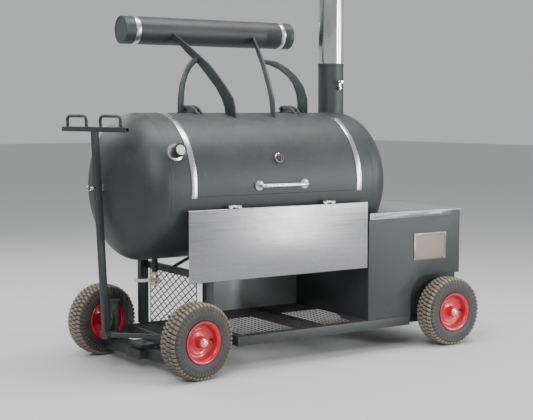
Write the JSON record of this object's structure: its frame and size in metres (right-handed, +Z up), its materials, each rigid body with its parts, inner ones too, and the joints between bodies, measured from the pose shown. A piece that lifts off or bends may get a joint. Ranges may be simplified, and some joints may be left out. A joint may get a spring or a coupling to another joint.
{
  "type": "offset smoker",
  "caption": "Wheeled barbecue smoker: domed drum with counterweighted lid, offset firebox, chimney, fold-up front shelf, log deck and steered axle with drawbar.",
  "frame": {"origin": "on the ground under the middle of the overall length and width", "axes": "+X along the drum towards the firebox, +Y from the lid side to the back, +Z up"},
  "size_m": [2.28, 1.006, 2.15],
  "materials": {
    "black_paint": "matt heat-proof paint with a fine grain",
    "seasoned_iron": "seasoned, oily black",
    "dark_steel": "dark matt paint",
    "stainless": "brushed stainless",
    "polished": "mirror polished",
    "brass": "dull nickel-plated brass",
    "gauge_black": "satin black",
    "pointer_red": "red enamel",
    "tyre_rubber": "dusty rubber",
    "red_paint": "gloss red paint"
  },
  "bodies": {
    "body": {"cooking_drum": "black_paint", "drum_hinge_lug_left": "black_paint", "drum_hinge_lug_right": "black_paint", "side_gauge_ring": "stainless", "side_gauge": "gauge_black", "cooking_grate_left": "seasoned_iron", "cooking_grate_right": "seasoned_iron", "grate_support": "seasoned_iron", "heat_deflector": "dark_steel", "chimney_base": "black_paint", "chimney_top": "polished", "drain_valve_body": "brass", "shelf_hinge_left": "polished", "shelf_hinge_right": "polished", "firebox": "black_paint", "firebox_door_wall": "black_paint", "firebox_top_plate": "stainless", "firebox_edge_strip": "stainless", "name_plate": "stainless", "fire_grate": "seasoned_iron", "deck_frame": "black_paint", "deck_mesh_floor": "dark_steel", "drum_support": "black_paint", "log_bay_mesh": "dark_steel", "log_bay_back": "stainless", "drawbar_keeper": "stainless"},
    "lid": {"lid": "black_paint", "lid_strap_left": "stainless", "lid_strap_right": "stainless", "counterweight_arm_left": "black_paint", "counterweight_arm_right": "black_paint", "brace_arm_left": "black_paint", "brace_arm_right": "black_paint", "counterweight_band_left": "stainless", "counterweight_band_right": "stainless", "counterweight_tube": "black_paint", "lid_hinge_ears_left": "black_paint", "lid_hinge_ears_right": "black_paint", "lid_handle": "stainless", "lid_thermometer": "stainless"},
    "thermometer_pointer": {"lid_thermometer_pointer": "pointer_red"},
    "damper": {"chimney_damper": "dark_steel"},
    "drain_lever": {"drain_valve_lever": "stainless"},
    "shelf": {"front_shelf": "stainless"},
    "door": {"firebox_door": "black_paint"},
    "air_slide": {"firebox_air_slide": "stainless"},
    "door_latch": {"firebox_door_latch": "stainless"},
    "ash_drawer": {"ash_drawer": "black_paint"},
    "front_axle": {"steering_axle": "black_paint"},
    "drawbar": {"drawbar": "black_paint", "drawbar_crossbar": "black_paint"},
    "lock_pin": {"drawbar_lock_pin": "polished"},
    "wheel_left_front": {"tyre_left_front": "tyre_rubber", "rim_left_front": "red_paint"},
    "wheel_left_rear": {"tyre_left_rear": "tyre_rubber", "rim_left_rear": "red_paint"},
    "wheel_right_front": {"tyre_right_front": "tyre_rubber", "rim_right_front": "red_paint"},
    "wheel_right_rear": {"tyre_right_rear": "tyre_rubber", "rim_right_rear": "red_paint"}
  },
  "joints": [
    {"name": "lid_hinge", "type": "hinge", "parent": "body", "child": "lid", "pos_m": [-0.18602, 0.05, 1.353], "axis": [1, 0, 0], "range_deg": [-80, 0]},
    {"name": "thermometer_pointer_turn", "type": "hinge", "parent": "lid", "child": "thermometer_pointer", "pos_m": [-0.18302, -0.35326, 1.09272], "axis": [0, -0.9272, 0.3746], "range_deg": [-225, 45]},
    {"name": "chimney_damper_turn", "type": "hinge", "parent": "body", "child": "damper", "pos_m": [0.41398, 0, 1.469], "axis": [0, 1, 0], "range_deg": [0, 90]},
    {"name": "drain_lever_turn", "type": "hinge", "parent": "body", "child": "drain_lever", "pos_m": [-0.72802, -0.038, 0.46], "axis": [0, 1, 0], "range_deg": [-90, 0]},
    {"name": "shelf_fold", "type": "hinge", "parent": "body", "child": "shelf", "pos_m": [-0.18602, -0.396, 0.857], "axis": [1, 0, 0], "range_deg": [-90, 0]},
    {"name": "firebox_door_hinge", "type": "hinge", "parent": "body", "child": "door", "pos_m": [1.08198, 0.264, 0.52], "axis": [0, 0, 1], "range_deg": [0, 110]},
    {"name": "air_slide_move", "type": "slide", "parent": "door", "child": "air_slide", "axis": [0, 1, 0], "range_m": [0, 0.03]},
    {"name": "door_latch_turn", "type": "hinge", "parent": "door", "child": "door_latch", "pos_m": [1.08398, -0.21, 0.56], "axis": [1, 0, 0], "range_deg": [0, 90]},
    {"name": "ash_drawer_slide", "type": "slide", "parent": "body", "child": "ash_drawer", "axis": [1, 0, 0], "range_m": [0, 0.42]},
    {"name": "front_axle_steer", "type": "hinge", "parent": "body", "child": "front_axle", "pos_m": [-0.77702, 0, 0.118], "axis": [0, 0, 1], "range_deg": [-24, 7]},
    {"name": "drawbar_fold", "type": "hinge", "parent": "front_axle", "child": "drawbar", "pos_m": [-1.03023, -0.03766, 0.2], "axis": [-0.1471, 0.9891, 0], "range_deg": [-80, 0]},
    {"name": "lock_pin_slide", "type": "slide", "parent": "drawbar", "child": "lock_pin", "axis": [0.9878, 0.1469, 0.0523], "range_m": [0, 0.0105]},
    {"name": "wheel_left_front_spin", "type": "hinge", "parent": "front_axle", "child": "wheel_left_front", "pos_m": [-0.71449, -0.42037, 0.195], "axis": [-0.1471, 0.9891, 0], "continuous": true},
    {"name": "wheel_left_rear_spin", "type": "hinge", "parent": "front_axle", "child": "wheel_left_rear", "pos_m": [-0.83955, 0.42037, 0.195], "axis": [-0.1471, 0.9891, 0], "continuous": true},
    {"name": "wheel_right_front_spin", "type": "hinge", "parent": "body", "child": "wheel_right_front", "pos_m": [0.94498, -0.425, 0.195], "axis": [0, 1, 0], "continuous": true},
    {"name": "wheel_right_rear_spin", "type": "hinge", "parent": "body", "child": "wheel_right_rear", "pos_m": [0.94498, 0.425, 0.195], "axis": [0, 1, 0], "continuous": true}
  ]
}
